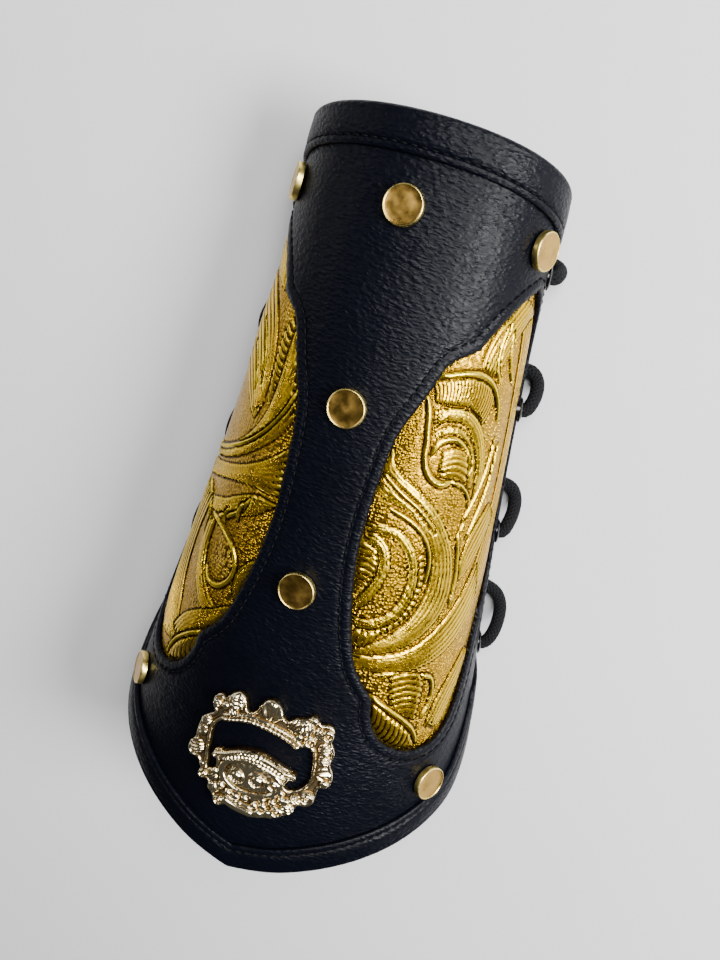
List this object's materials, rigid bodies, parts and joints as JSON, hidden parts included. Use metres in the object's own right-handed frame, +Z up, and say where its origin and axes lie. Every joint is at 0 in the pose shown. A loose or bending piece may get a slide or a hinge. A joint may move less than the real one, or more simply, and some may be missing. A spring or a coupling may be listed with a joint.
{
  "type": "leather arm guard",
  "caption": "Laced leather arm guard, flared from wrist to elbow, with gilt embossed panels in scalloped windows, folded edge bands, rivets and a cast ornament.",
  "frame": {"origin": "on the floor, under the middle of the part's bounding box", "axes": "+Y towards the wrist, +X to the wearer's right, +Z up through the back of the forearm"},
  "size_m": [0.127, 0.2501, 0.076],
  "materials": {
    "leather": "semi-matt grained black leather",
    "gold_leather": "embossed leather with gold leaf",
    "rivet": "antique brass, polished rim",
    "ornament": "pale gold plate, polished cast metal",
    "eyelet": "black enamelled",
    "cord": "matt braided cotton cord"
  },
  "bodies": {
    "root": {"shell": "leather", "gold_panel_right": "gold_leather", "gold_panel_left": "gold_leather", "wrist_band": "leather", "elbow_band": "leather", "rivet_wrist_centre": "rivet", "rivet_middle": "rivet", "rivet_lower": "rivet", "rivet_wrist_right": "rivet", "rivet_elbow_right": "rivet", "rivet_wrist_left": "rivet", "rivet_elbow_left": "rivet", "ornament": "ornament", "eyelet_right_1": "eyelet", "eyelet_left_1": "eyelet", "eyelet_right_2": "eyelet", "eyelet_left_2": "eyelet", "eyelet_right_3": "eyelet", "eyelet_left_3": "eyelet", "eyelet_right_4": "eyelet", "eyelet_left_4": "eyelet", "lace": "cord"}
  },
  "joints": []
}
